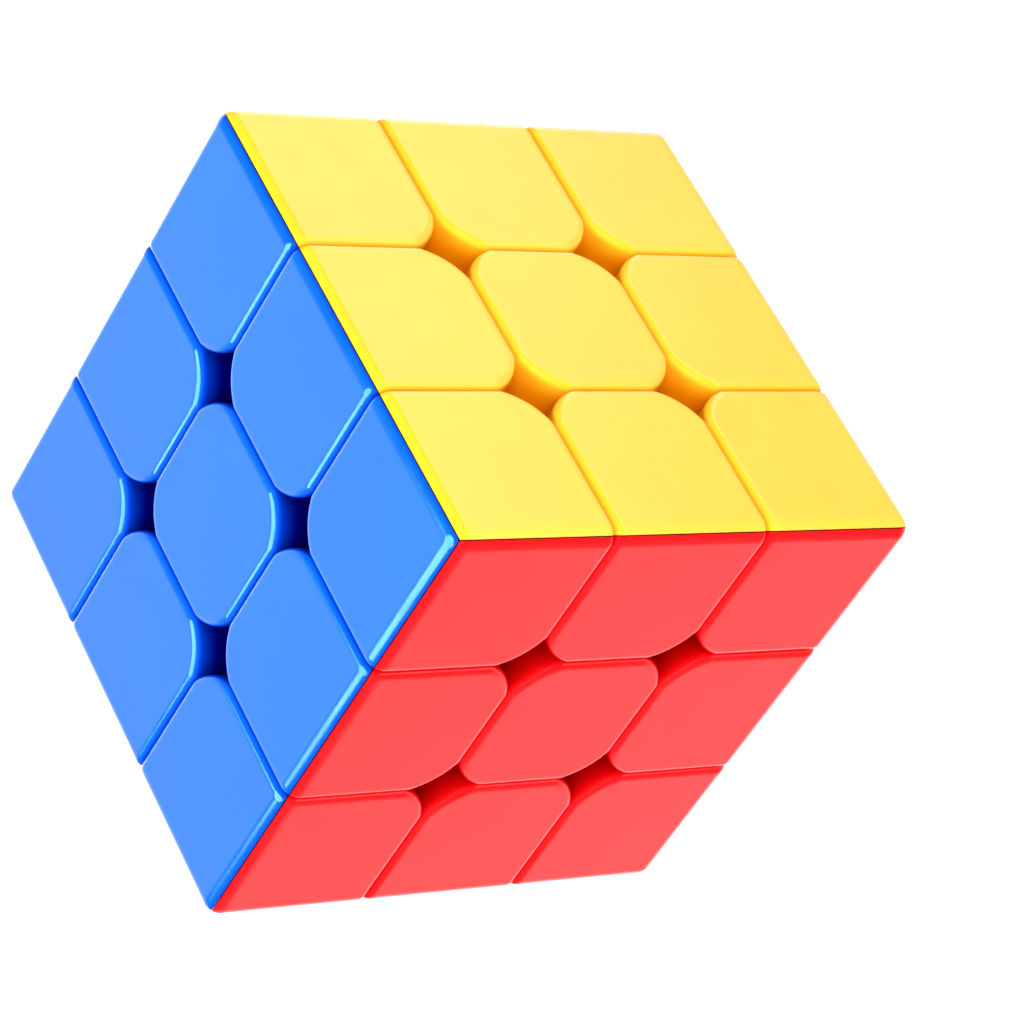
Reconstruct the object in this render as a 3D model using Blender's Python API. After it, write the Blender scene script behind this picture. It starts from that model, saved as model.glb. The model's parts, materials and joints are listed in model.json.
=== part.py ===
"""A 3 x 3 twisty puzzle cube, 56 mm across, with the mechanism that lets its layers turn.

Metres, +Z up, the origin at the middle of the bottom face. The yellow face is up, the blue
face looks along -Y and the red face along +X. The pieces are modelled in millimetres about
the middle of the cube, where every turning axis crosses, and each keeps its origin there.

The mechanism works on balls about that middle. Outside BLOCK_BORE the blocks meet on the
planes that cut the cube in three. Between FOOT_BALL and FOOT_BORE the feet meet on planes
that lie nearer to the middle, so each foot hooks under the blocks beside it. Inside
SKIRT_BALL the flared skirts of the six centre hubs hold the feet up. Every surface that
slides on another is flat across a turning axis, or round about it, so a layer turns to any
angle.
"""

import math

import bmesh
import bpy
from mathutils import Matrix, Vector

MM = 0.001

# The cube and its cuts
SIDE = 56.0
HALF = SIDE / 2
CUT = SIDE / 6
BLOCK_GAP = 0.3
CENTRE_WALL = CUT - BLOCK_GAP / 2
OUTER_WALL = CUT + BLOCK_GAP / 2
OUTER_FILLET = 1.8
RIM_FILLET = 0.8
FILLET_STEPS = 2
JUNCTION_CUT = 4.0
CORNER_LEG = JUNCTION_CUT - BLOCK_GAP
CORNER_CROWN = 0.6
CORNER_STEPS = 3
CUT_FLOOR = 14.0

# The balls that the blocks, the feet and the skirts slide on
BALL_SEGMENTS = 24
OUTER_BALL = 20.0
BLOCK_BORE = OUTER_BALL + 0.3
FOOT_BALL = OUTER_BALL - 0.3
FOOT_BORE = 15.3
SKIRT_BALL = 14.5

# Feet, walls and pockets of the edges and the corners
FOOT_PLANE = 5.5
FOOT_GAP = 0.3
FOOT_START = FOOT_PLANE + FOOT_GAP / 2
EDGE_FOOT = FOOT_PLANE - FOOT_GAP / 2
EDGE_NECK = EDGE_FOOT - 0.3
SPLIT_GAP = 0.2
WALL = 1.5
CORNER_BORE = 22.2
CORNER_DRAIN = 1.5
DRAIN_START = 13.0
DRAIN_END = 24.0
DRAIN_STEPS = 8

# Centre hub and cap
HUB_TOP = 22.0
CAP_BASE = HUB_TOP - 2
CAP_FLOOR = HUB_TOP + 0.3
CAP_WALL = 1.5
COLLAR_INSET = CAP_WALL + 0.3
COLLAR_BASE = 18.0
COLLAR_TOP = 24.4
STEM_TOP = 21.5
HUB_BASE = 10.6
STEM_RADIUS = 5.2
SKIRT_ANGLE = 42.0
SKIRT_RIM = 9.1
SKIRT_STEPS = 3
WELL_RADIUS = 3.5
WELL_FLOOR = 13.7
SCREW_HOLE = 1.6
HOLE_TOP = WELL_FLOOR + 1

# Core, tension screw and spring
CORE_BALL = 7.6
ARM_RADIUS = 4.0
ARM_END = 10.3
ARM_BORE_END = 3.4
ARM_START = 1.0
HEAD_RADIUS = 2.9
HEAD_BOTTOM = 19.8
HEAD_TOP = 21.5
HEAD_CROWN = 0.4
SHANK_RADIUS = 1.25
SHANK_TIP = 3.9
TIP_RADIUS = 0.5
TIP_TAPER = 0.8
SOCKET_LENGTH = 3.4
SOCKET_WIDTH = 0.8
SOCKET_DEPTH = 0.9
WIRE_RADIUS = 0.3
COIL_RADIUS = 2.55
COIL_TURNS = 4
COIL_STEPS = 9
SPRING_GAP = 0.25
WELD = 0.001

ROUND_STEPS = 18
CORE_STEPS = 16
SMALL_STEPS = 12
SMOOTH_ANGLE = math.radians(35)

COLOURS = {
    "yellow": (0.95, 0.68, 0.03),
    "white": (0.85, 0.85, 0.83),
    "blue": (0.0, 0.18, 0.90),
    "green": (0.0, 0.45, 0.08),
    "red": (0.90, 0.02, 0.025),
    "orange": (1.0, 0.22, 0.01),
}
FACES = {
    "top": (Vector((0, 0, 1)), "yellow"),
    "bottom": (Vector((0, 0, -1)), "white"),
    "front": (Vector((0, -1, 0)), "blue"),
    "back": (Vector((0, 1, 0)), "green"),
    "right": (Vector((1, 0, 0)), "red"),
    "left": (Vector((-1, 0, 0)), "orange"),
}
RING = ("front", "right", "back", "left")


def clear_scene():
    for item in list(bpy.data.objects):
        bpy.data.objects.remove(item, do_unlink=True)


def material(name, colour, roughness, metallic=0.0):
    made = bpy.data.materials.new(name)
    made.use_nodes = True
    shader = made.node_tree.nodes["Principled BSDF"]
    shader.inputs["Base Color"].default_value = (*colour, 1.0)
    shader.inputs["Roughness"].default_value = roughness
    shader.inputs["Metallic"].default_value = metallic
    made.diffuse_color = (*colour, 1.0)
    return made


# Solids

def solid(shape, name="solid"):
    """An object of the bmesh, which it frees."""
    mesh = bpy.data.meshes.new(name)
    shape.to_mesh(mesh)
    shape.free()
    made = bpy.data.objects.new(name, mesh)
    bpy.context.scene.collection.objects.link(made)
    return made


def loft(rings):
    """A closed solid through rings of equal length, each counter-clockwise, lowest first."""
    shape = bmesh.new()
    loops = [[shape.verts.new(point) for point in ring] for ring in rings]
    for below, above in zip(loops, loops[1:]):
        for i in range(len(below)):
            shape.faces.new((below[i - 1], below[i], above[i], above[i - 1]))
    shape.faces.new(list(reversed(loops[0])))
    shape.faces.new(loops[-1])
    return solid(shape)


def turned(profile, steps=ROUND_STEPS):
    """A solid of revolution about Z through (radius, height) pairs, lowest first."""
    angles = [2 * math.pi * i / steps for i in range(steps)]
    rings = []
    for radius, height in profile:
        rings.append([(radius * math.cos(a), radius * math.sin(a), height) for a in angles])
    return loft(rings)


def ball(radius, segments=BALL_SEGMENTS):
    shape = bmesh.new()
    bmesh.ops.create_uvsphere(
        shape, u_segments=segments, v_segments=segments // 2, radius=radius
    )
    return solid(shape)


def box(low, high):
    shape = bmesh.new()
    size = Vector(high) - Vector(low)
    middle = (Vector(high) + Vector(low)) / 2
    place = Matrix.Translation(middle) @ Matrix.Diagonal((*size, 1.0))
    bmesh.ops.create_cube(shape, size=1.0, matrix=place)
    return solid(shape)


def moved(item, matrix):
    item.data.transform(matrix)
    return item


def applied(body):
    """The body with its modifiers turned into mesh."""
    graph = bpy.context.evaluated_depsgraph_get()
    mesh = bpy.data.meshes.new_from_object(body.evaluated_get(graph))
    body.modifiers.clear()
    body.data = mesh
    return body


def combine(body, tool, operation):
    """Applies one Boolean to the body and removes the tool."""
    step = body.modifiers.new("Boolean", "BOOLEAN")
    step.operation = operation
    step.solver = "EXACT"
    step.object = tool
    applied(body)
    bpy.data.objects.remove(tool, do_unlink=True)
    return body


def cut(body, tool):
    return combine(body, tool, "DIFFERENCE")


def join(body, tool):
    return combine(body, tool, "UNION")


def overlap(body, tool):
    return combine(body, tool, "INTERSECT")


# Blocks

def signed_area(points):
    return sum(a.cross(b) for a, b in zip(points, points[1:] + points[:1])) / 2


def junction_cutter(tip, sx, sy, inset, start):
    """A prism that takes off a tile's corner at 45 degrees.

    It leaves a slightly crowned wall, or a flat one where it is inset for a pocket.
    """
    steps = 1 if inset else CORNER_STEPS
    leg = CORNER_LEG - inset * (2 - math.sqrt(2))
    outward = Vector((sx, sy))
    tip = Vector(tip) - outward * inset
    first, last = tip - Vector((0, sy * leg)), tip - Vector((sx * leg, 0))
    points = []
    for step in range(steps + 1):
        t = step / steps
        crown = outward.normalized() * CORNER_CROWN * 4 * t * (1 - t)
        points.append(first.lerp(last, t) + crown)
    points.append(last + Vector((0, sy * leg)))
    points.append(tip + outward * leg)
    points.append(first + Vector((sx * leg, 0)))
    if signed_area(points) < 0:
        points.reverse()
    return loft([[(p.x, p.y, height) for p in points] for height in (start, SIDE)])


def on_surface(face):
    """Whether a face of a box lies on the outside of the cube."""
    return max(abs(value) for value in face.calc_center_median()) > HALF - WELD


def rounded(body):
    """Rounds a box where it shows: the cube's own edges more than the rims of the tiles."""
    shape = bmesh.new()
    shape.from_mesh(body.data)
    weights = shape.edges.layers.float.new("bevel_weight_edge")
    for edge in shape.edges:
        tiles = sum(map(on_surface, edge.link_faces))
        edge[weights] = (0.0, RIM_FILLET / OUTER_FILLET, 1.0)[tiles]
    shape.to_mesh(body.data)
    shape.free()
    step = body.modifiers.new("Bevel", "BEVEL")
    step.limit_method = "WEIGHT"
    step.width = OUTER_FILLET
    step.segments = FILLET_STEPS
    return applied(body)


def block(low, high, corners, rotations, inset=0.0, bore=0.0):
    """A box with rounded edges, less the named corners of each of its tiles.

    The corners are those of the tile across Z, and the rotations carry it to the other tiles.
    Without a bore the corners are cut down to CUT_FLOOR, where they stay clear of each other.
    An inset block is a pocket, with sharp edges.
    """
    body = box(Vector(low) + Vector((inset,) * 3), Vector(high) - Vector((inset,) * 3))
    if not inset:
        body = rounded(body)
    if bore:
        body = cut(body, ball(bore, SMALL_STEPS))
    start = 0.0 if bore else CUT_FLOOR
    for rotation in rotations:
        for sx, sy in corners:
            tip = (high[0] if sx > 0 else low[0], high[1] if sy > 0 else low[1])
            body = cut(body, moved(junction_cutter(tip, sx, sy, inset, start), rotation))
    return body


def ring_rotations(steps, axis):
    """The rotations about an axis that carry a block's tiles onto one another."""
    return [Matrix.Rotation(2 * math.pi * i / steps, 4, Vector(axis)) for i in range(steps)]


def edge_block(**sizes):
    """The block of the top front edge."""
    low, high = (-CENTRE_WALL, -HALF, OUTER_WALL), (CENTRE_WALL, -OUTER_WALL, HALF)
    return block(low, high, ((-1, 1), (1, 1)), ring_rotations(2, (0, -1, 1)), **sizes)


def corner_block(**sizes):
    """The block of the top front right corner."""
    low, high = (OUTER_WALL, -HALF, OUTER_WALL), (HALF, -OUTER_WALL, HALF)
    return block(low, high, ((-1, 1),), ring_rotations(3, (1, -1, 1)), **sizes)


def centre_block(bottom, top, **sizes):
    """The block of the top centre between two heights."""
    low, high = (-CENTRE_WALL, -CENTRE_WALL, bottom), (CENTRE_WALL, CENTRE_WALL, top)
    return block(low, high, ((-1, -1), (1, -1), (1, 1), (-1, 1)), (Matrix(),), **sizes)


def above_split(normal):
    """A large box on one side of a plane through the middle, half a split gap away from it."""
    reach = 2 * SIDE
    half_space = box((-reach, -reach, SPLIT_GAP / 2), (reach, reach, reach))
    turn = Vector((0, 0, 1)).rotation_difference(Vector(normal)).to_matrix().to_4x4()
    return moved(half_space, turn)


# Pieces, each in the place that it has under the top face

def edge_half():
    """The upper shell of the top front edge, with its half of the foot, open where it splits."""
    body = edge_block()
    carve = cut(ball(BLOCK_BORE), box((-EDGE_NECK, -SIDE, -SIDE), (EDGE_NECK, SIDE, SIDE)))
    body = cut(body, carve)
    foot = box((-EDGE_FOOT, -HALF, FOOT_START), (EDGE_FOOT, -FOOT_START, HALF))
    body = join(body, overlap(foot, ball(FOOT_BALL)))
    body = cut(body, ball(FOOT_BORE))
    body = overlap(body, above_split((0, 1, 1)))
    return cut(body, edge_block(inset=WALL, bore=BLOCK_BORE + WALL))


def corner():
    """The top front right corner: its shells and foot, hollow, with a drain through the foot."""
    foot = box((FOOT_START, -HALF, FOOT_START), (HALF, -FOOT_START, HALF))
    body = join(corner_block(), overlap(foot, ball(FOOT_BALL)))
    body = cut(body, ball(FOOT_BORE))
    body = cut(body, corner_block(inset=WALL, bore=CORNER_BORE))
    drain = turned(((CORNER_DRAIN, DRAIN_START), (CORNER_DRAIN, DRAIN_END)), DRAIN_STEPS)
    diagonal = Vector((0, 0, 1)).rotation_difference(Vector((1, -1, 1)))
    return cut(body, moved(drain, diagonal.to_matrix().to_4x4()))


def centre_cap():
    """The top tile, hollow from below, which presses over the hub's collar."""
    body = cut(centre_block(CAP_BASE, HALF), box((-HALF, -HALF, 0), (HALF, HALF, CAP_FLOOR)))
    return cut(body, centre_block(CAP_BASE, HALF, inset=CAP_WALL))


def centre_hub():
    """A block and a collar on a round stem, whose flared skirt holds the feet from below."""
    body = cut(centre_block(HUB_BASE, HUB_TOP), ball(BLOCK_BORE))
    collar_top = COLLAR_TOP + COLLAR_INSET
    body = join(body, centre_block(COLLAR_BASE, collar_top, inset=COLLAR_INSET))
    profile = [(SKIRT_RIM, HUB_BASE)]
    stem_angle = math.degrees(math.asin(STEM_RADIUS / SKIRT_BALL))
    for step in range(SKIRT_STEPS + 1):
        share = step / SKIRT_STEPS
        angle = math.radians(SKIRT_ANGLE + (stem_angle - SKIRT_ANGLE) * share)
        profile.append((SKIRT_BALL * math.sin(angle), SKIRT_BALL * math.cos(angle)))
    profile.append((STEM_RADIUS, STEM_TOP))
    body = join(body, turned(profile))
    body = cut(body, turned(((WELL_RADIUS, WELL_FLOOR), (WELL_RADIUS, HALF))))
    return cut(body, turned(((SCREW_HOLE, 0), (SCREW_HOLE, HOLE_TOP)), SMALL_STEPS))


def tension_screw():
    """A pan head with a cross socket, on a plain shank that stands for the threaded one."""
    profile = (
        (TIP_RADIUS, SHANK_TIP),
        (SHANK_RADIUS, SHANK_TIP + TIP_TAPER),
        (SHANK_RADIUS, HEAD_BOTTOM),
        (HEAD_RADIUS, HEAD_BOTTOM),
        (HEAD_RADIUS, HEAD_TOP - HEAD_CROWN),
        (HEAD_RADIUS - HEAD_CROWN, HEAD_TOP),
    )
    body = turned(profile, SMALL_STEPS)
    length, width = SOCKET_LENGTH / 2, SOCKET_WIDTH / 2
    floor = HEAD_TOP - SOCKET_DEPTH
    for reach in ((length, width), (width, length)):
        slot = box((-reach[0], -reach[1], floor), (reach[0], reach[1], HEAD_TOP + 1))
        body = cut(body, slot)
    return body


def spring():
    """An open helix of round wire between the well's floor and the screw's head."""
    curve = bpy.data.curves.new("spring", "CURVE")
    curve.dimensions = "3D"
    curve.bevel_depth = WIRE_RADIUS
    curve.bevel_resolution = 0
    curve.use_fill_caps = True
    line = curve.splines.new("POLY")
    count = int(COIL_TURNS * COIL_STEPS)
    line.points.add(count)
    low = WELL_FLOOR + SPRING_GAP + WIRE_RADIUS
    high = HEAD_BOTTOM - SPRING_GAP - WIRE_RADIUS
    for i, point in enumerate(line.points):
        angle = 2 * math.pi * i / COIL_STEPS
        height = low + (high - low) * i / count
        point.co = (COIL_RADIUS * math.cos(angle), COIL_RADIUS * math.sin(angle), height, 1)
    helix = bpy.data.objects.new("spring", curve)
    bpy.context.scene.collection.objects.link(helix)
    graph = bpy.context.evaluated_depsgraph_get()
    mesh = bpy.data.meshes.new_from_object(helix.evaluated_get(graph))
    bpy.data.objects.remove(helix, do_unlink=True)
    shape = bmesh.new()
    shape.from_mesh(mesh)
    bmesh.ops.remove_doubles(shape, verts=shape.verts[:], dist=WELD)
    return solid(shape)


def core():
    """A ball with six arms, bored for the tension screws from each arm's end."""
    body = ball(CORE_BALL, CORE_STEPS)
    for axis, _ in FACES.values():
        arm = turned(((ARM_RADIUS, ARM_START), (ARM_RADIUS, ARM_END)), CORE_STEPS)
        body = join(body, moved(arm, facing(axis)))
    for axis, _ in FACES.values():
        bore = turned(((SCREW_HOLE, ARM_BORE_END), (SCREW_HOLE, ARM_END + 1)), SMALL_STEPS)
        body = cut(body, moved(bore, facing(axis)))
    return body


# Placing

def facing(axis, toward=None):
    """The rotation that takes +Z to axis and -Y to toward, both along the cube's axes."""
    if toward is None:
        toward = Vector((0, -1, 0)) if abs(axis.z) else Vector((0, 0, 1))
    rows = Matrix(((-toward).cross(axis), -toward, axis))
    return rows.transposed().to_4x4()


def finished(item):
    """Scales a template to metres, shades it and takes it out of the scene."""
    mesh = item.data
    mesh.transform(Matrix.Scale(MM, 4))
    mesh.shade_smooth()
    mesh.set_sharp_from_angle(angle=SMOOTH_ANGLE)
    bpy.data.objects.remove(item, do_unlink=True)
    return mesh


def place(name, mesh, rotation, finish, middle):
    """One piece: a copy of the template's mesh, turned about the middle of the cube."""
    piece = bpy.data.objects.new(name, mesh.copy())
    piece.data.name = name
    piece.data.materials.clear()
    piece.data.materials.append(finish)
    piece.rotation_euler = rotation.to_euler()
    piece.parent = middle
    bpy.context.scene.collection.objects.link(piece)


def build():
    clear_scene()
    middle = bpy.data.objects.new("cube_middle", None)
    middle.location = (0, 0, HALF * MM)
    bpy.context.scene.collection.objects.link(middle)

    plastics = {}
    for name, colour in COLOURS.items():
        plastics[name] = material(name + "_plastic", colour, roughness=0.28)
    nylon = material("core_plastic", (0.05, 0.05, 0.055), roughness=0.45)
    steel = material("screw_steel", (0.55, 0.55, 0.56), roughness=0.35, metallic=1.0)
    wire = material("spring_steel", (0.65, 0.65, 0.66), roughness=0.25, metallic=1.0)

    place("core", finished(core()), Matrix(), nylon, middle)
    cap, hub = finished(centre_cap()), finished(centre_hub())
    screw, coil = finished(tension_screw()), finished(spring())
    for face, (axis, colour) in FACES.items():
        turn = facing(axis)
        place("centre_cap_" + face, cap, turn, plastics[colour], middle)
        place("centre_hub_" + face, hub, turn, plastics[colour], middle)
        place("tension_screw_" + face, screw, turn, steel, middle)
        place("spring_" + face, coil, turn, wire, middle)

    half = finished(edge_half())
    whole = finished(corner())
    for index, side in enumerate(RING):
        after = RING[(index + 1) % len(RING)]
        for cover in ("top", "bottom"):
            edge_pair(f"edge_{cover}_{side}_", half, cover, side, plastics, middle)
        edge_pair(f"edge_{side}_{after}_", half, side, after, plastics, middle)
        top, bottom = FACES["top"], FACES["bottom"]
        turn = facing(top[0], FACES[side][0])
        place(f"corner_top_{side}_{after}", whole, turn, plastics[top[1]], middle)
        turn = facing(bottom[0], FACES[after][0])
        place(f"corner_bottom_{side}_{after}", whole, turn, plastics[bottom[1]], middle)


def edge_pair(prefix, mesh, first, second, plastics, middle):
    """The two half-shells of one edge, each named by its own colour."""
    for face, toward in ((first, second), (second, first)):
        axis, colour = FACES[face]
        turn = facing(axis, FACES[toward][0])
        place(prefix + colour, mesh, turn, plastics[colour], middle)


build()
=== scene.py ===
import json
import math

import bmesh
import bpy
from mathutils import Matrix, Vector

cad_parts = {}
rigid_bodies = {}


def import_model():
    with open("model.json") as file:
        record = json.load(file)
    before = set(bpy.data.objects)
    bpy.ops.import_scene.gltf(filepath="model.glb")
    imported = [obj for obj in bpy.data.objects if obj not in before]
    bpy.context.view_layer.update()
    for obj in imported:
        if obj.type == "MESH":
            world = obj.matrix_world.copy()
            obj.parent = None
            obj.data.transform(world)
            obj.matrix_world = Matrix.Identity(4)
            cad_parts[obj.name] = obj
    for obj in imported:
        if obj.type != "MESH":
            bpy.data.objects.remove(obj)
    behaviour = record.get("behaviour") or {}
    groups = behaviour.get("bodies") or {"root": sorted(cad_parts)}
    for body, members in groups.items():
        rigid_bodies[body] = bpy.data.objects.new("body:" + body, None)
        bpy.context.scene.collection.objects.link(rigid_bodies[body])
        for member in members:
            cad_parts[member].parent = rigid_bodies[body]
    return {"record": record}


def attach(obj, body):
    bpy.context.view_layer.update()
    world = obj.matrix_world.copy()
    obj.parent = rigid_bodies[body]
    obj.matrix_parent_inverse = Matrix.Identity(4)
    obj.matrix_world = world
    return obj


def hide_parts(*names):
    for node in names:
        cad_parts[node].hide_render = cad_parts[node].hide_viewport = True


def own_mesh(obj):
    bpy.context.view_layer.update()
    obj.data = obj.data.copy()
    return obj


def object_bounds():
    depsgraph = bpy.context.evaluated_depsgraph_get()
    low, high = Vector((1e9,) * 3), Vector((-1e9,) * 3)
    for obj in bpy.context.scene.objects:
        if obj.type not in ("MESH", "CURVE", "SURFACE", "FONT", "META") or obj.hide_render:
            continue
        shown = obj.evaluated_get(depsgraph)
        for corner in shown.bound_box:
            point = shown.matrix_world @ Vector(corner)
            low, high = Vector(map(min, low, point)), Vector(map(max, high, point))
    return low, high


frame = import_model()
cad_low, cad_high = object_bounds()

# The looks of a 3 x 3 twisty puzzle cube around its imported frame: coloured shells with crisp
# rounded rims, feet, hubs, tension screws, springs and core, moulded plastic and steel
# finishes, a pale floor and a soft studio.
#
# Each kind of piece is modelled once, in millimetres about the middle of the cube, in the
# place that it has under the top face (the edge also meets the front face, and the corner the
# front and right ones). Its copies are turned about the middle into their places.

MM = 0.001

# The cube and the planes between its blocks, from the frame
MIDDLE = (cad_low + cad_high) / 2
SIDE = (cad_high.x - cad_low.x) / MM
HALF = SIDE / 2
CUT = SIDE / 6
BLOCK_GAP = 0.14
CENTRE_WALL = CUT - BLOCK_GAP / 2
OUTER_WALL = CUT + BLOCK_GAP / 2

# Rounding: the cube's own edges, and the rims of the tiles. A rim is an edge that lies wholly
# beyond SKIN and bends by more than RIM_ANGLE.
OUTER_FILLET = 1.8
OUTER_STEPS = 8
RIM_FILLET = 0.95
RIM_STEPS = 6
RIM_PROFILE = 0.6
SKIN = HALF - 0.7
RIM_ANGLE = math.radians(60)

# The corner that every tile loses where four tiles meet: a crowned cut with eased ends, made
# from CUT_FLOOR upward by a cutter that reaches CUT_REACH past the tile's sides
CUT_LEG = 4.0 - BLOCK_GAP
CUT_CROWN = 0.58
CROWN_STEPS = 12
EASE_RADIUS = 1.2
EASE_STEPS = 4
CUT_FLOOR = 14.0
CUT_REACH = 2.0

# How far other cutters reach past what they cut
OVERSHOOT = 1.0

# The balls that the blocks, the feet and the skirts slide on
OUTER_BALL = 20.0
BALL_GAP = 0.3
BLOCK_BORE = OUTER_BALL + BALL_GAP
FOOT_BALL = OUTER_BALL - BALL_GAP
FOOT_BORE = 15.3
SKIRT_BALL = 14.5
BALL_STEPS = 64

# Feet, walls and pockets of the edges and the corners
FOOT_PLANE = 5.5
FOOT_START = FOOT_PLANE + BALL_GAP / 2
EDGE_FOOT = FOOT_PLANE - BALL_GAP / 2
EDGE_NECK = EDGE_FOOT - BALL_GAP
SPLIT_GAP = 0.12
WALL = 1.5
CORNER_BORE = 22.2

# Centre hub and cap
HUB_TOP = 22.0
CAP_BASE = HUB_TOP - 2
CAP_FLOOR = HUB_TOP + 0.1
CAP_WALL = 1.5
COLLAR_INSET = CAP_WALL + BALL_GAP
COLLAR_BASE = 18.0
COLLAR_TOP = 24.4
STEM_TOP = 21.5
HUB_BASE = 10.6
STEM_RADIUS = 5.2
SKIRT_ANGLE = 42.0
SKIRT_RIM = 9.1
SKIRT_STEPS = 8
WELL_RADIUS = 3.5
WELL_FLOOR = 13.7
SCREW_HOLE = 1.6
HOLE_TOP = WELL_FLOOR + OVERSHOOT

# Core, tension screw and spring
CORE_BALL = 7.6
ARM_RADIUS = 4.0
ARM_END = 10.3
ARM_EASE = 0.4
ARM_BORE_END = 3.4
ARM_START = 1.0
HEAD_RADIUS = 2.9
HEAD_BOTTOM = 19.8
HEAD_TOP = 21.5
HEAD_CROWN = 0.5
HEAD_EASE = HEAD_CROWN / 4
HEAD_STEPS = 5
SHANK_RADIUS = 1.25
SHANK_TIP = 3.9
TIP_RADIUS = 0.5
TIP_TAPER = 0.8
THREAD_TOP = 10.0
THREAD_PITCH = 0.5
THREAD_DEPTH = 0.2
THREAD_STEPS = 24
THREAD_LEVELS = 8
SOCKET_LENGTH = 3.4
SOCKET_WIDTH = 0.8
SOCKET_DEPTH = 0.9
WIRE_RADIUS = 0.3
WIRE_STEPS = 10
COIL_RADIUS = 2.55
COIL_TURNS = 4
COIL_STEPS = 28
SPRING_GAP = 0.25

# Segments of large and small round shapes, the sharpest bend that is shaded smooth, and the
# distance within which points count as one
ROUND_STEPS = 48
SMALL_STEPS = 24
SMOOTH_ANGLE = math.radians(35)
WELD = 0.001

# Each face's direction and colour, and the faces around the top one in order
FACES = {
    "top": (Vector((0, 0, 1)), "yellow"),
    "bottom": (Vector((0, 0, -1)), "white"),
    "front": (Vector((0, -1, 0)), "blue"),
    "back": (Vector((0, 1, 0)), "green"),
    "right": (Vector((1, 0, 0)), "red"),
    "left": (Vector((-1, 0, 0)), "orange"),
}
RING = ("front", "right", "back", "left")

# Plastics: the colour of the tiles, a darker one painted as shade down the walls between them
# and on the cube's rounded edges, the tint of the gloss, and the power that the depth is
# raised to (below 1, the painted shade sets in early)
COLOURS = {
    "yellow": ((0.92, 0.495, 0.02), (0.95, 0.34, 0.0), (1.0, 1.0, 0.8), 0.85),
    "white": ((0.80, 0.80, 0.78), (0.50, 0.50, 0.48), (1.0, 1.0, 1.0), 0.55),
    "blue": ((0.001, 0.080, 0.78), (0.0, 0.0, 0.17), (0.3, 1.0, 1.0), 0.38),
    "green": ((0.002, 0.36, 0.05), (0.0, 0.12, 0.005), (0.6, 1.0, 0.7), 0.55),
    "red": ((0.82, 0.004, 0.006), (0.45, 0.0, 0.0), (1.0, 0.65, 0.68), 0.55),
    "orange": ((0.92, 0.15, 0.004), (0.60, 0.04, 0.0), (1.0, 0.85, 0.7), 0.55),
}

# The depths below the skin where the painted shade on the walls starts and is darkest
PAINTED_SHADE_START = 0.3
PAINTED_SHADE_END = 2.6

# Roughness of the plastics, from clean to smudged, and how much smoother the rims' feet and
# the walls are. A rim is unpolished down to this share of its fillet.
ROUGH_LOW = 0.12
ROUGH_HIGH = 0.2
RIM_POLISH = 0.04
UNPOLISHED = 0.125

# Plastics: noises as (scale, detail), the parts of their values that are used, how bright the
# worn patches are beside the skin, and bumps as (strength, distance in metres)
FLOW_NOISE = (90.0, 3.0)
SMUDGE_NOISE = (260.0, 4.0)
PIT_NOISE = (2600.0, 2.0)
FLOW_RANGE = (0.35, 0.65)
SMUDGE_RANGE = (0.3, 0.7)
WORN = 0.95
FLOW_BUMP = (0.05, 0.0002)
PIT_BUMP = (0.04, 0.00002)
PLASTIC_SPECULAR = 0.5
PLASTIC_IOR = 1.5

# The core's nylon, in the same terms
NYLON_NOISE = (1400.0, 6.0)
NYLON_RANGE = (0.4, 0.7)
NYLON_DARK = (0.03, 0.03, 0.034)
NYLON_LIGHT = (0.09, 0.09, 0.095)
NYLON_ROUGH = (0.38, 0.58)
NYLON_BUMP = (0.3, 0.00004)

# Steels: a material's name, its darkest and lightest marks, its lowest and highest roughness.
# The marks are a noise drawn out round the piece's axis.
STEELS = {
    "screw_steel": ("plated_steel", (0.42, 0.42, 0.43), (0.62, 0.62, 0.63), 0.25, 0.42),
    "spring_steel": ("spring_wire", (0.55, 0.55, 0.56), (0.72, 0.72, 0.73), 0.18, 0.32),
}
MARK_SQUEEZE = (0.2, 0.2, 4.0)
MARK_NOISE = (1500.0, 4.0)
MARK_RANGE = (0.35, 0.65)
MARK_BUMP = (0.25, 0.00002)

# How far apart the pieces' own numbers may lie, which tell their noises from one another
OWN_SPREAD = 40.0

# Floor: its size in metres, two paints that a noise mixes, and its own glow
FLOOR_RADIUS = 3.0
FLOOR_STEPS = 96
FLOOR_NOISE = (30.0, 3.0)
FLOOR_DARK = (0.86, 0.86, 0.86)
FLOOR_LIGHT = (0.90, 0.90, 0.90)
FLOOR_ROUGH = 0.9
FLOOR_SPECULAR = 0.1
FLOOR_GLOW = 0.45

# Lamps that no reflection shows: direction, width and height in metres, radiance
LAMP_PLACE = 0.8
LAMPS = {
    "key_softbox": ((0.25, -0.35, 0.90), 0.6, 0.6, 4.5),
    "side_softbox": ((0.75, -0.55, 0.35), 0.6, 0.5, 5.0),
    "front_softbox": ((0.034, -0.985, 0.17), 0.72, 0.26, 11.5),
}

# The round lamp that only the blue pieces reflect: direction, distance, the angle from its
# middle to its rim as seen from the cube, radiance
GLINT_WAY = (0.034, -0.978, -0.208)
GLINT_PLACE = 0.9
GLINT_ANGLE = 29.8
GLINT_LIGHT = 16.0

# The surroundings: an even radiance, and softboxes painted over it in order, each as
# (direction, angle where it is full, angle where it ends, radiance)
WORLD_BASE = 0.15
SOFTBOXES = (
    ((0, 1, 0), 62, 72, 2.75),
    ((0, 1, 0), 48.5, 52.5, 1.15),
    ((0, 0, -1), 72, 88, 0.15),
    ((0.05, 0.78, -0.62), 32, 60, 1.05),
    ((0.79, 0.60, 0.12), 22, 34, 0.3),
    ((-0.10, 0.72, -0.69), 15, 26, 2.0),
    ((-0.75, -0.10, -0.66), 36, 48, 1.8),
    ((-0.76, 0.20, -0.62), 15, 26, 4.5),
)

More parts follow.
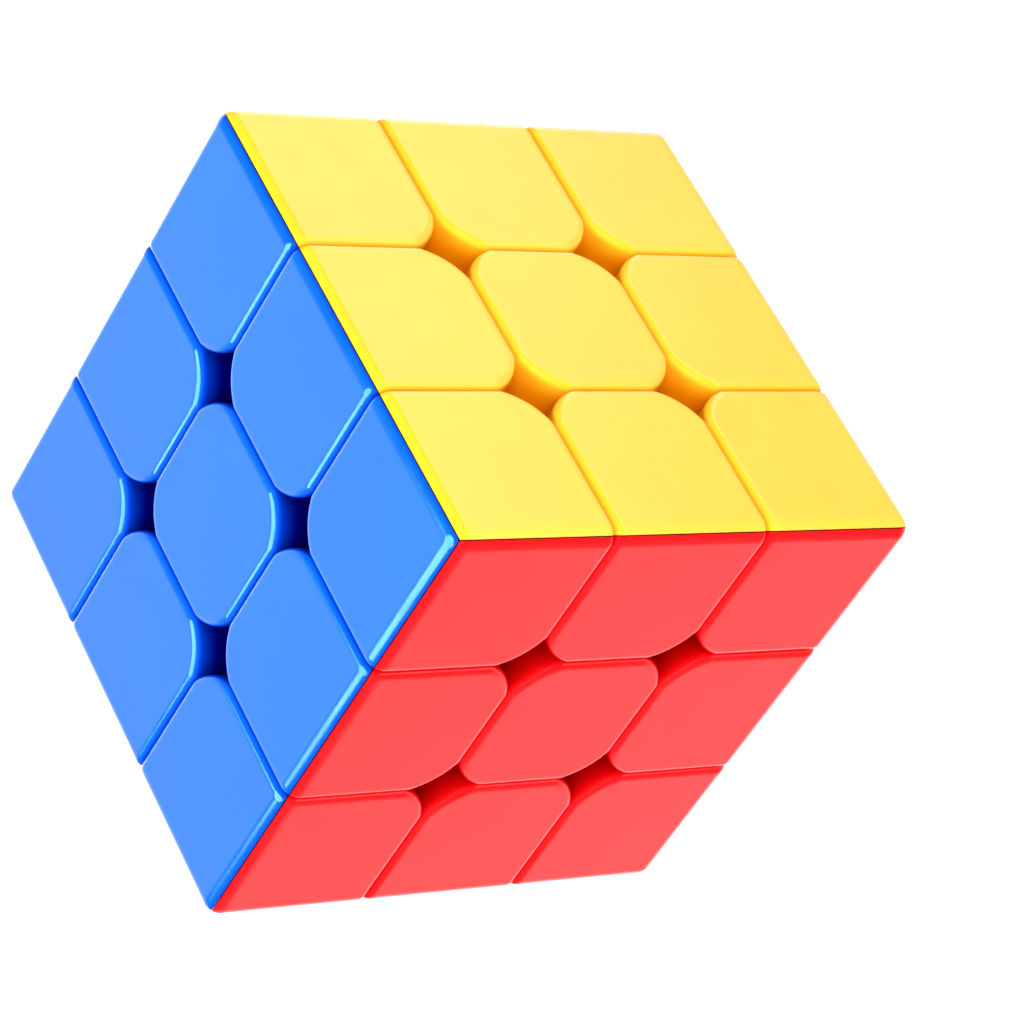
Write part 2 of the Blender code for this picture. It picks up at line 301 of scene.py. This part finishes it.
# Camera, in metres in the frame's space, with its lens and sensor in millimetres
CAMERA_PLACE = (0.20743, -0.23868, 0.26767)
CAMERA_LOOK = (-0.51510, 0.61529, -0.59673)
CAMERA_UP = (-0.74734, 0.01850, 0.66418)
LENS = 138.43
SENSOR = 36.0
CLIP_START = 0.01
CLIP_END = 50.0

# The material of each slot, filled by make_finishes, and the body that each CAD node rides
FINISHES = {}
HOME = {
    node: body
    for body, nodes in frame["record"]["behaviour"]["bodies"].items()
    for node in nodes
}


# Solids

def solid(shape, name="solid"):
    """An object made of the bmesh, which is freed."""
    mesh = bpy.data.meshes.new(name)
    shape.to_mesh(mesh)
    shape.free()
    made = bpy.data.objects.new(name, mesh)
    bpy.context.scene.collection.objects.link(made)
    return made


def loft(rings):
    """A closed solid through rings of equal length, each counter-clockwise, lowest first."""
    shape = bmesh.new()
    loops = [[shape.verts.new(point) for point in ring] for ring in rings]
    for below, above in zip(loops, loops[1:]):
        for i in range(len(below)):
            shape.faces.new((below[i - 1], below[i], above[i], above[i - 1]))
    shape.faces.new(list(reversed(loops[0])))
    shape.faces.new(loops[-1])
    return solid(shape)


def turned(profile, steps=ROUND_STEPS):
    """A solid of revolution about Z through (radius, height) pairs, lowest first."""
    angles = [2 * math.pi * i / steps for i in range(steps)]
    rings = []
    for radius, height in profile:
        rings.append([(radius * math.cos(a), radius * math.sin(a), height) for a in angles])
    return loft(rings)


def ball(radius, steps=BALL_STEPS):
    """A ball about the middle."""
    shape = bmesh.new()
    bmesh.ops.create_uvsphere(shape, u_segments=steps, v_segments=steps // 2, radius=radius)
    return solid(shape)


def box(low, high):
    """A box between two opposite corners."""
    shape = bmesh.new()
    size = Vector(high) - Vector(low)
    middle = (Vector(high) + Vector(low)) / 2
    place = Matrix.Translation(middle) @ Matrix.Diagonal((*size, 1.0))
    bmesh.ops.create_cube(shape, size=1.0, matrix=place)
    return solid(shape)


def moved(item, matrix):
    item.data.transform(matrix)
    return item


def combine(body, tool, operation):
    """Applies one Boolean to the body and removes the tool."""
    step = body.modifiers.new("Boolean", "BOOLEAN")
    step.operation = operation
    step.solver = "EXACT"
    step.object = tool
    graph = bpy.context.evaluated_depsgraph_get()
    mesh = bpy.data.meshes.new_from_object(body.evaluated_get(graph))
    body.modifiers.clear()
    body.data = mesh
    bpy.data.objects.remove(tool, do_unlink=True)
    return body


def cut(body, tool):
    return combine(body, tool, "DIFFERENCE")


def join(body, tool):
    return combine(body, tool, "UNION")


def overlap(body, tool):
    return combine(body, tool, "INTERSECT")


def soften(body, chosen, width, steps, profile=0.5):
    """Rounds the edges that the test chooses; a profile over 0.5 bends most in the middle."""
    shape = bmesh.new()
    shape.from_mesh(body.data)
    shape.normal_update()
    edges = [edge for edge in shape.edges if chosen(edge)]
    bmesh.ops.bevel(
        shape, geom=edges, offset=width, segments=steps, profile=profile, affect="EDGES"
    )
    shape.to_mesh(body.data)
    shape.free()
    return body


# Blocks

def smooth_cut():
    """The outline that a cut gives the corner of a tile, with the corner itself at (0, 0).

    It runs from one side of the tile to the other, heading along the first at its start and
    along the second at its end.
    """
    chord = CUT_LEG * math.sqrt(2)
    radius = (chord ** 2 / 4 + CUT_CROWN ** 2) / (2 * CUT_CROWN)
    crown_turn = 2 * math.asin(chord / 2 / radius)
    ease_turn = (math.pi / 2 - crown_turn) / 2
    ease = (ease_turn, EASE_RADIUS, EASE_STEPS)
    heading = 0.0
    points = [Vector((0, 0))]
    for turn, bend, steps in (ease, (crown_turn, radius, CROWN_STEPS), ease):
        centre = points[-1] + bend * Vector((math.sin(heading), -math.cos(heading)))
        for step in range(1, steps + 1):
            now = heading - turn * step / steps
            points.append(centre - bend * Vector((math.sin(now), -math.cos(now))))
        heading -= turn
    return [point - Vector((points[-1].x, 0)) for point in points]


def signed_area(points):
    """The area inside an outline, negative where it runs clockwise."""
    return sum(a.cross(b) for a, b in zip(points, points[1:] + points[:1])) / 2


def prism(points, bottom, top):
    """The flat outline, made solid between two heights."""
    if signed_area(points) < 0:
        points = points[::-1]
    return loft([[(p.x, p.y, height) for p in points] for height in (bottom, top)])


def junction_cutter(tip, sx, sy):
    """A prism that takes off the corner of a tile at the tip, outward along (sx, sy)."""
    line = smooth_cut()
    before = line[0] + (line[0] - line[1]).normalized()
    after = line[-1] + (line[-1] - line[-2]).normalized()
    outside = [
        Vector((CUT_REACH, after.y)),
        Vector((CUT_REACH, CUT_REACH)),
        Vector((before.x, CUT_REACH)),
    ]
    points = [before] + line + [after] + outside
    placed = [Vector((tip[0] + sx * p.x, tip[1] + sy * p.y)) for p in points]
    return prism(placed, CUT_FLOOR, SIDE)


def pocket_cutter(tip, sx, sy, inset):
    """The flat cutter of a pocket's corner, a wall's thickness further in."""
    leg = CUT_LEG - inset * (2 - math.sqrt(2))
    tip = Vector(tip) - Vector((sx, sy)) * inset
    out_x, out_y = Vector((sx * leg, 0)), Vector((0, sy * leg))
    first, last = tip - out_y, tip - out_x
    points = [first, last, last + out_y, tip + out_x + out_y, first + out_x]
    return prism(points, 0.0, SIDE)


def outer_faces(edge):
    """How many of an edge's faces lie on the outside of the cube."""
    return sum(
        max(abs(value) for value in face.calc_center_median()) > HALF - WELD
        for face in edge.link_faces
    )


def is_rim(edge):
    """Whether an edge runs round the outer skin of a block."""
    out = all(max(abs(value) for value in vert.co) > SKIN for vert in edge.verts)
    return out and edge.calc_face_angle(0.0) > RIM_ANGLE


def block(low, high, corners, rotations):
    """A box with rounded cube edges and rims, less the named corners of each of its tiles.

    The corners are those of the tile across Z, and the rotations carry it to the other tiles.
    """
    body = box(low, high)
    soften(body, lambda edge: outer_faces(edge) == 2, OUTER_FILLET, OUTER_STEPS)
    for rotation in rotations:
        for sx, sy in corners:
            tip = (high[0] if sx > 0 else low[0], high[1] if sy > 0 else low[1])
            body = cut(body, moved(junction_cutter(tip, sx, sy), rotation))
    return soften(body, is_rim, RIM_FILLET, RIM_STEPS, RIM_PROFILE)


def pocket(low, high, corners, rotations, inset, bore=0.0):
    """The hollow inside a block: the same shape a wall's thickness smaller, sharp-edged."""
    body = box(Vector(low) + Vector((inset,) * 3), Vector(high) - Vector((inset,) * 3))
    if bore:
        body = cut(body, ball(bore, SMALL_STEPS))
    for rotation in rotations:
        for sx, sy in corners:
            tip = (high[0] if sx > 0 else low[0], high[1] if sy > 0 else low[1])
            body = cut(body, moved(pocket_cutter(tip, sx, sy, inset), rotation))
    return body


def ring_rotations(steps, axis):
    """The rotations about an axis that carry a block's tiles onto one another."""
    return [Matrix.Rotation(2 * math.pi * i / steps, 4, Vector(axis)) for i in range(steps)]


def edge_form():
    """The box, cut corners and rotations of the top front edge."""
    low, high = (-CENTRE_WALL, -HALF, OUTER_WALL), (CENTRE_WALL, -OUTER_WALL, HALF)
    return low, high, ((-1, 1), (1, 1)), ring_rotations(2, (0, -1, 1))


def corner_form():
    """The same of the top front right corner."""
    low, high = (OUTER_WALL, -HALF, OUTER_WALL), (HALF, -OUTER_WALL, HALF)
    return low, high, ((-1, 1),), ring_rotations(3, (1, -1, 1))


def centre_form(bottom, top):
    """The same of the top centre between two heights."""
    low, high = (-CENTRE_WALL, -CENTRE_WALL, bottom), (CENTRE_WALL, CENTRE_WALL, top)
    return low, high, ((-1, -1), (1, -1), (1, 1), (-1, 1)), (Matrix(),)


def above_split(normal):
    """A large box on one side of a plane through the middle, half a split gap away from it."""
    reach = 2 * SIDE
    half_space = box((-reach, -reach, SPLIT_GAP / 2), (reach, reach, reach))
    turn = Vector((0, 0, 1)).rotation_difference(Vector(normal)).to_matrix().to_4x4()
    return moved(half_space, turn)


# Pieces

def edge_half():
    """The upper shell of the top front edge, with its half of the foot, open where it splits."""
    body = block(*edge_form())
    carve = cut(ball(BLOCK_BORE), box((-EDGE_NECK, -SIDE, -SIDE), (EDGE_NECK, SIDE, SIDE)))
    body = cut(body, carve)
    foot = box((-EDGE_FOOT, -HALF, FOOT_START), (EDGE_FOOT, -FOOT_START, HALF))
    body = join(body, overlap(foot, ball(FOOT_BALL)))
    body = cut(body, ball(FOOT_BORE))
    body = overlap(body, above_split((0, 1, 1)))
    return cut(body, pocket(*edge_form(), inset=WALL, bore=BLOCK_BORE + WALL))


def corner_third():
    """The upper shell of the top front right corner, with its third of the foot."""
    foot = box((FOOT_START, -HALF, FOOT_START), (HALF, -FOOT_START, HALF))
    body = join(block(*corner_form()), overlap(foot, ball(FOOT_BALL)))
    body = cut(body, ball(FOOT_BORE))
    body = overlap(body, above_split((0, 1, 1)))
    body = overlap(body, above_split((-1, 0, 1)))
    return cut(body, pocket(*corner_form(), inset=WALL, bore=CORNER_BORE))


def centre_cap():
    """The top tile, hollow from below, which presses over the hub's collar."""
    body = block(*centre_form(CAP_BASE, HALF))
    body = cut(body, box((-HALF, -HALF, 0), (HALF, HALF, CAP_FLOOR)))
    return cut(body, pocket(*centre_form(CAP_BASE, HALF), inset=CAP_WALL))


def centre_hub():
    """A block and a collar on a round stem, whose flared skirt holds the feet from below."""
    body = cut(block(*centre_form(HUB_BASE, HUB_TOP)), ball(BLOCK_BORE))
    collar = pocket(*centre_form(COLLAR_BASE, COLLAR_TOP + COLLAR_INSET), inset=COLLAR_INSET)
    body = join(body, collar)
    profile = [(SKIRT_RIM, HUB_BASE)]
    stem_angle = math.degrees(math.asin(STEM_RADIUS / SKIRT_BALL))
    for step in range(SKIRT_STEPS + 1):
        share = step / SKIRT_STEPS
        angle = math.radians(SKIRT_ANGLE + (stem_angle - SKIRT_ANGLE) * share)
        profile.append((SKIRT_BALL * math.sin(angle), SKIRT_BALL * math.cos(angle)))
    profile.append((STEM_RADIUS, STEM_TOP))
    body = join(body, turned(profile))
    body = cut(body, turned(((WELL_RADIUS, WELL_FLOOR), (WELL_RADIUS, HALF))))
    return cut(body, turned(((SCREW_HOLE, 0), (SCREW_HOLE, HOLE_TOP)), SMALL_STEPS))


def threaded_shank():
    """The screw's shank: a plain neck, and below it a single-start thread to a pointed tip."""
    rings = []
    count = round((THREAD_TOP - SHANK_TIP) / THREAD_PITCH * THREAD_LEVELS)
    for level in range(count + 1):
        height = SHANK_TIP + (THREAD_TOP - SHANK_TIP) * level / count
        taper = min(1.0, (height - SHANK_TIP) / TIP_TAPER)
        ring = []
        for step in range(THREAD_STEPS):
            turn = step / THREAD_STEPS
            phase = (height / THREAD_PITCH - turn) % 1.0
            depth = THREAD_DEPTH * abs(2 * phase - 1)
            radius = TIP_RADIUS + (SHANK_RADIUS - depth - TIP_RADIUS) * taper
            angle = 2 * math.pi * turn
            ring.append((radius * math.cos(angle), radius * math.sin(angle), height))
        rings.append(ring)
    for height in (THREAD_TOP + THREAD_PITCH / 2, HEAD_BOTTOM + HEAD_CROWN):
        ring = []
        for step in range(THREAD_STEPS):
            angle = 2 * math.pi * step / THREAD_STEPS
            ring.append((SHANK_RADIUS * math.cos(angle), SHANK_RADIUS * math.sin(angle), height))
        rings.append(ring)
    return loft(rings)


def tension_screw():
    """A pan head with a cross socket on a threaded shank."""
    profile = [
        (HEAD_RADIUS - HEAD_EASE, HEAD_BOTTOM),
        (HEAD_RADIUS, HEAD_BOTTOM + HEAD_EASE),
    ]
    for step in range(HEAD_STEPS + 1):
        angle = math.pi / 2 * step / HEAD_STEPS
        radius = HEAD_RADIUS - HEAD_CROWN * (1 - math.cos(angle))
        profile.append((radius, HEAD_TOP - HEAD_CROWN * (1 - math.sin(angle))))
    body = join(turned(profile), threaded_shank())
    length, width = SOCKET_LENGTH / 2, SOCKET_WIDTH / 2
    floor = HEAD_TOP - SOCKET_DEPTH
    for reach in ((length, width), (width, length)):
        slot_top = (reach[0], reach[1], HEAD_TOP + OVERSHOOT)
        body = cut(body, box((-reach[0], -reach[1], floor), slot_top))
    return body


def spring():
    """An open helix of round wire between the well's floor and the screw's head."""
    curve = bpy.data.curves.new("spring", "CURVE")
    curve.dimensions = "3D"
    curve.bevel_depth = WIRE_RADIUS
    curve.bevel_resolution = WIRE_STEPS
    curve.use_fill_caps = True
    line = curve.splines.new("POLY")
    count = COIL_TURNS * COIL_STEPS
    line.points.add(count)
    low = WELL_FLOOR + SPRING_GAP + WIRE_RADIUS
    high = HEAD_BOTTOM - SPRING_GAP - WIRE_RADIUS
    for i, point in enumerate(line.points):
        angle = 2 * math.pi * i / COIL_STEPS
        height = low + (high - low) * i / count
        point.co = (COIL_RADIUS * math.cos(angle), COIL_RADIUS * math.sin(angle), height, 1)
    helix = bpy.data.objects.new("spring", curve)
    bpy.context.scene.collection.objects.link(helix)
    graph = bpy.context.evaluated_depsgraph_get()
    mesh = bpy.data.meshes.new_from_object(helix.evaluated_get(graph))
    bpy.data.objects.remove(helix, do_unlink=True)
    shape = bmesh.new()
    shape.from_mesh(mesh)
    bmesh.ops.remove_doubles(shape, verts=shape.verts[:], dist=WELD)
    return solid(shape)


def core():
    """A ball with six arms, eased at their ends and bored for the tension screws."""
    body = ball(CORE_BALL)
    profile = (
        (ARM_RADIUS, ARM_START),
        (ARM_RADIUS, ARM_END - ARM_EASE),
        (ARM_RADIUS - ARM_EASE, ARM_END),
    )
    for axis, _ in FACES.values():
        body = join(body, moved(turned(profile), facing(axis)))
    bore = ((SCREW_HOLE, ARM_BORE_END), (SCREW_HOLE, ARM_END + OVERSHOOT))
    for axis, _ in FACES.values():
        body = cut(body, moved(turned(bore, SMALL_STEPS), facing(axis)))
    return body


# Placing

def facing(axis, toward=None):
    """The rotation that takes +Z to axis and -Y to toward, both along the cube's axes."""
    if toward is None:
        toward = Vector((0, -1, 0)) if abs(axis.z) else Vector((0, 0, 1))
    rows = Matrix(((-toward).cross(axis), -toward, axis))
    return rows.transposed().to_4x4()


def finished(item):
    """The template's mesh in metres, smooth, with its flat faces ruling the shading."""
    item.data.transform(Matrix.Scale(MM, 4))
    item.data.shade_smooth()
    item.data.set_sharp_from_angle(angle=SMOOTH_ANGLE)
    step = item.modifiers.new("Weighted Normal", "WEIGHTED_NORMAL")
    step.keep_sharp = True
    graph = bpy.context.evaluated_depsgraph_get()
    mesh = bpy.data.meshes.new_from_object(item.evaluated_get(graph))
    bpy.data.objects.remove(item, do_unlink=True)
    return mesh


def stand_in(name, mesh, rotation, slot, node):
    """One piece in its place, riding the body of the node that it stands for."""
    piece = bpy.data.objects.new(name, mesh.copy())
    piece.data.materials.clear()
    piece.data.materials.append(FINISHES[slot])
    piece.matrix_world = Matrix.Translation(MIDDLE) @ rotation
    bpy.context.scene.collection.objects.link(piece)
    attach(piece, HOME[node])
    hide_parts(node)
    return piece


def make_centres():
    """The core, and the cap, hub, tension screw and spring of each face."""
    stand_in("core_ball", finished(core()), Matrix(), "core_plastic", "core")
    cap, hub = finished(centre_cap()), finished(centre_hub())
    screw, coil = finished(tension_screw()), finished(spring())
    for face, (axis, colour) in FACES.items():
        turn = facing(axis)
        plastic = colour + "_plastic"
        stand_in("cap_" + face, cap, turn, plastic, "centre_cap_" + face)
        stand_in("hub_" + face, hub, turn, plastic, "centre_hub_" + face)
        stand_in("screw_" + face, screw, turn, "screw_steel", "tension_screw_" + face)
        wire = stand_in("coil_" + face, coil, turn, "spring_steel", "spring_" + face)
        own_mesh(wire)


def make_edge(node_start, first, second, mesh):
    """The two half-shells of one edge, each named by its own colour."""
    for face, toward in ((first, second), (second, first)):
        axis, colour = FACES[face]
        node = node_start + colour
        turn = facing(axis, FACES[toward][0])
        stand_in(node + "_shell", mesh, turn, colour + "_plastic", node)


def make_corner(node, faces, mesh):
    """The three coloured shells of one corner, whose faces are named counter-clockwise."""
    for face, toward in zip(faces, faces[1:] + faces[:1]):
        axis, colour = FACES[face]
        turn = facing(axis, FACES[toward][0])
        stand_in(f"{node}_{colour}", mesh, turn, colour + "_plastic", node)


def make_outer_pieces():
    """The twelve edges and the eight corners."""
    half = finished(edge_half())
    third = finished(corner_third())
    for index, side in enumerate(RING):
        after = RING[(index + 1) % len(RING)]
        for cover in ("top", "bottom"):
            make_edge(f"edge_{cover}_{side}_", cover, side, half)
        make_edge(f"edge_{side}_{after}_", side, after, half)
        make_corner(f"corner_top_{side}_{after}", ("top", side, after), third)
        make_corner(f"corner_bottom_{side}_{after}", ("bottom", after, side), third)


# Finishes

class Nodes:
    """A material's or a world's node tree, with short calls to add and link nodes."""

    def __init__(self, tree):
        self.tree = tree

    def add(self, kind, settings=None, **links):
        """A node with settings and inputs. An input is a value, or another node's output.

        An input is named in the call by its name in lower case with _ for each space.
        """
        node = self.tree.nodes.new(kind)
        for key, value in (settings or {}).items():
            setattr(node, key, value)
        named = {}
        for socket in reversed(node.inputs):
            named[socket.name.lower().replace(" ", "_")] = socket
        for key, value in links.items():
            self.feed(named[key], value)
        return node

    def maths(self, kind, operation, *values):
        """A maths node of this kind and operation, whose inputs are the values in order."""
        node = self.add(kind, {"operation": operation})
        for socket, value in zip(node.inputs, values):
            self.feed(socket, value)
        return node

    def feed(self, socket, value):
        """Gives the socket another node's output, or a value of its own."""
        if isinstance(value, bpy.types.NodeSocket):
            self.tree.links.new(value, socket)
        else:
            socket.default_value = value


def new_material(name):
    """A material with an empty principled shader, and its nodes."""
    made = bpy.data.materials.new(name)
    made.use_nodes = True
    nodes = Nodes(made.node_tree)
    shader = made.node_tree.nodes["Principled BSDF"]
    return made, nodes, shader


def noise(nodes, scale, detail, own, squeeze=None):
    """Noise in the piece's own space, different for each piece, scaled along its axes."""
    place = nodes.add("ShaderNodeTexCoord").outputs["Object"]
    if squeeze:
        place = nodes.maths("ShaderNodeVectorMath", "MULTIPLY", place, squeeze).outputs[0]
    found = nodes.add(
        "ShaderNodeTexNoise", {"noise_dimensions": "4D"}, vector=place, scale=scale,
        detail=detail, w=own,
    )
    return found.outputs[0]


def ranged(nodes, value, low, high, start=0.0, end=1.0):
    """The value, mapped from the range start to end onto low to high."""
    node = nodes.add(
        "ShaderNodeMapRange", {"clamp": True}, value=value, from_min=start, from_max=end,
        to_min=low, to_max=high,
    )
    return node.outputs[0]


def mix(nodes, share, first, second):
    """Two colours, or nodes' outputs, mixed by the share of the second."""
    node = nodes.add("ShaderNodeMix", {"data_type": "RGBA"})
    nodes.feed(node.inputs[0], share)
    for socket, colour in ((node.inputs[6], first), (node.inputs[7], second)):
        if not isinstance(colour, bpy.types.NodeSocket):
            colour = (*colour, 1.0)
        nodes.feed(socket, colour)
    return node.outputs[2]


def bump(nodes, height, strength, distance, **links):
    """The normal of a fine relief; another relief's normal can be linked in under it."""
    relief = nodes.add(
        "ShaderNodeBump", height=height, strength=strength, distance=distance, **links
    )
    return relief.outputs[0]


def own_number(nodes):
    """A number that differs from piece to piece."""
    chance = nodes.add("ShaderNodeObjectInfo").outputs["Random"]
    return ranged(nodes, chance, 0.0, OWN_SPREAD)


def moulded_plastic(name, skin, painted_shade, gloss, fade):
    """Glossy coloured ABS: faint flow marks, handling smudges, polished rims and fine pits.

    It has one colour on the tiles, and a darker one painted as shade down the walls between
    them and on the rounded edges, deepening with the depth below the skin.
    """
    made, nodes, shader = new_material(name)
    own = own_number(nodes)
    flow = noise(nodes, *FLOW_NOISE, own)
    smudge = noise(nodes, *SMUDGE_NOISE, own)
    pits = noise(nodes, *PIT_NOISE, own)
    place = nodes.add("ShaderNodeTexCoord").outputs["Object"]
    height = nodes.add("ShaderNodeSeparateXYZ", vector=place).outputs[2]
    top = HALF * MM
    worn = tuple(WORN * value for value in skin)
    share = ranged(nodes, flow, 0.0, 1.0, *FLOW_RANGE)
    # Painted shade: the tile colour gives way to the darker one with depth below the top skin
    depth = ranged(nodes, height, 1.0, 0.0, top - PAINTED_SHADE_END * MM, top - PAINTED_SHADE_START * MM)
    shade_share = nodes.maths("ShaderNodeMath", "POWER", depth, fade)
    colour = mix(nodes, shade_share.outputs[0], mix(nodes, share, skin, worn), painted_shade)
    nodes.feed(shader.inputs["Base Color"], colour)

    fillet = RIM_FILLET * MM
    rim = ranged(nodes, height, 1.0, 0.0, top - fillet, top - fillet * UNPOLISHED)
    rough = ranged(nodes, smudge, ROUGH_LOW, ROUGH_HIGH, *SMUDGE_RANGE)
    polish = nodes.maths("ShaderNodeMath", "MULTIPLY_ADD", rim, -RIM_POLISH, rough)
    nodes.feed(shader.inputs["Roughness"], polish.outputs[0])

    waves = bump(nodes, flow, *FLOW_BUMP)
    nodes.feed(shader.inputs["Normal"], bump(nodes, pits, *PIT_BUMP, normal=waves))
    shader.inputs["Specular IOR Level"].default_value = PLASTIC_SPECULAR
    shader.inputs["Specular Tint"].default_value = (*gloss, 1.0)
    shader.inputs["IOR"].default_value = PLASTIC_IOR
    return made


def core_plastic(name):
    """Dark glass-filled nylon with a matt, speckled grain."""
    made, nodes, shader = new_material(name)
    own = own_number(nodes)
    grain = noise(nodes, *NYLON_NOISE, own)
    share = ranged(nodes, grain, 0.0, 1.0, *NYLON_RANGE)
    nodes.feed(shader.inputs["Base Color"], mix(nodes, share, NYLON_DARK, NYLON_LIGHT))
    nodes.feed(shader.inputs["Roughness"], ranged(nodes, grain, *NYLON_ROUGH))
    nodes.feed(shader.inputs["Normal"], bump(nodes, grain, *NYLON_BUMP))
    return made


def drawn_steel(name, dark, light, low, high):
    """Bright steel with fine turning marks round its axis."""
    made, nodes, shader = new_material(name)
    own = own_number(nodes)
    marks = noise(nodes, *MARK_NOISE, own, MARK_SQUEEZE)
    share = ranged(nodes, marks, 0.0, 1.0, *MARK_RANGE)
    nodes.feed(shader.inputs["Base Color"], mix(nodes, share, dark, light))
    nodes.feed(shader.inputs["Roughness"], ranged(nodes, marks, low, high))
    nodes.feed(shader.inputs["Normal"], bump(nodes, marks, *MARK_BUMP))
    shader.inputs["Metallic"].default_value = 1.0
    return made


def make_finishes():
    """The material for each of the record's slots."""
    for colour, looks in COLOURS.items():
        FINISHES[colour + "_plastic"] = moulded_plastic("moulded_" + colour, *looks)
    FINISHES["core_plastic"] = core_plastic("filled_nylon")
    for slot, looks in STEELS.items():
        FINISHES[slot] = drawn_steel(*looks)


# Studio

def make_floor():
    """A wide pale floor, which the cube stands on."""
    shape = bmesh.new()
    bmesh.ops.create_circle(shape, cap_ends=True, segments=FLOOR_STEPS, radius=FLOOR_RADIUS)
    floor = solid(shape, "floor")
    floor.location = (0, 0, cad_low.z)
    made, nodes, shader = new_material("floor_paint")
    place = nodes.add("ShaderNodeTexCoord").outputs["Object"]
    scale, detail = FLOOR_NOISE
    grain = nodes.add("ShaderNodeTexNoise", vector=place, scale=scale, detail=detail).outputs[0]
    nodes.feed(shader.inputs["Base Color"], mix(nodes, grain, FLOOR_DARK, FLOOR_LIGHT))
    shader.inputs["Roughness"].default_value = FLOOR_ROUGH
    shader.inputs["Specular IOR Level"].default_value = FLOOR_SPECULAR
    shader.inputs["Emission Color"].default_value = (1, 1, 1, 1)
    shader.inputs["Emission Strength"].default_value = FLOOR_GLOW
    floor.data.materials.append(made)
    floor.visible_glossy = False


def make_light(name, direction, distance, radiance, lamp, area):
    """Hangs up an area lamp that looks at the middle of the cube, unseen by camera and gloss."""
    lamp.energy = radiance * math.pi * area
    light = bpy.data.objects.new(name, lamp)
    back = Vector(direction).normalized()
    light.location = MIDDLE + back * distance
    light.rotation_euler = back.to_track_quat("Z", "Y").to_euler()
    light.visible_camera = False
    light.visible_glossy = False
    bpy.context.scene.collection.objects.link(light)
    return light


def make_lamps():
    """The rectangular softboxes that light the cube."""
    for name, (direction, width, height, radiance) in LAMPS.items():
        lamp = bpy.data.lights.new(name, "AREA")
        lamp.shape = "RECTANGLE"
        lamp.size, lamp.size_y = width, height
        make_light(name, direction, LAMP_PLACE, radiance, lamp, width * height)


def make_glint():
    """A large round softbox in front, which only the blue pieces catch, and only as a gloss."""
    radius = GLINT_PLACE * math.tan(math.radians(GLINT_ANGLE))
    lamp = bpy.data.lights.new("glint_softbox", "AREA")
    lamp.shape = "DISK"
    lamp.size = 2 * radius
    area = math.pi * radius ** 2
    light = make_light("glint_softbox", GLINT_WAY, GLINT_PLACE, GLINT_LIGHT, lamp, area)
    light.visible_glossy = True
    light.visible_diffuse = False
    catching = bpy.data.collections.new("glint_pieces")
    for item in bpy.context.scene.objects:
        if item.type == "MESH" and FINISHES["blue_plastic"] in item.data.materials[:]:
            catching.objects.link(item)
    light.light_linking.receiver_collection = catching


def make_world():
    """The studio around the cube: a dim room, with softboxes painted over it in order."""
    world = bpy.data.worlds.new("studio")
    bpy.context.scene.world = world
    world.use_nodes = True
    nodes = Nodes(world.node_tree)
    sky = world.node_tree.nodes["Background"]
    way = nodes.add("ShaderNodeTexCoord").outputs["Generated"]
    colour = (WORLD_BASE,) * 3
    for direction, inner, outer, radiance in SOFTBOXES:
        towards = Vector(direction).normalized()
        aim = nodes.maths("ShaderNodeVectorMath", "DOT_PRODUCT", way, towards)
        share = ranged(
            nodes, aim.outputs["Value"], 0.0, 1.0,
            math.cos(math.radians(outer)), math.cos(math.radians(inner)),
        )
        colour = mix(nodes, share, colour, (radiance,) * 3)
    nodes.feed(sky.inputs["Color"], colour)


def make_camera():
    """The camera of the photo, as fitted to the cube's corners."""
    lens = bpy.data.cameras.new("camera")
    lens.lens = LENS
    lens.sensor_width = SENSOR
    lens.clip_start = CLIP_START
    lens.clip_end = CLIP_END
    camera = bpy.data.objects.new("camera", lens)
    back = -Vector(CAMERA_LOOK).normalized()
    right = Vector(CAMERA_UP).cross(back).normalized()
    up = back.cross(right)
    turn = Matrix((right, up, back)).transposed().to_4x4()
    camera.matrix_world = Matrix.Translation(Vector(CAMERA_PLACE)) @ turn
    bpy.context.scene.collection.objects.link(camera)
    bpy.context.scene.camera = camera


def make_studio():
    """The floor, lights, surroundings and camera, with colours shown as they are."""
    make_floor()
    make_lamps()
    make_glint()
    make_world()
    make_camera()
    bpy.context.scene.view_settings.view_transform = "Standard"


make_finishes()
make_centres()
make_outer_pieces()
make_studio()
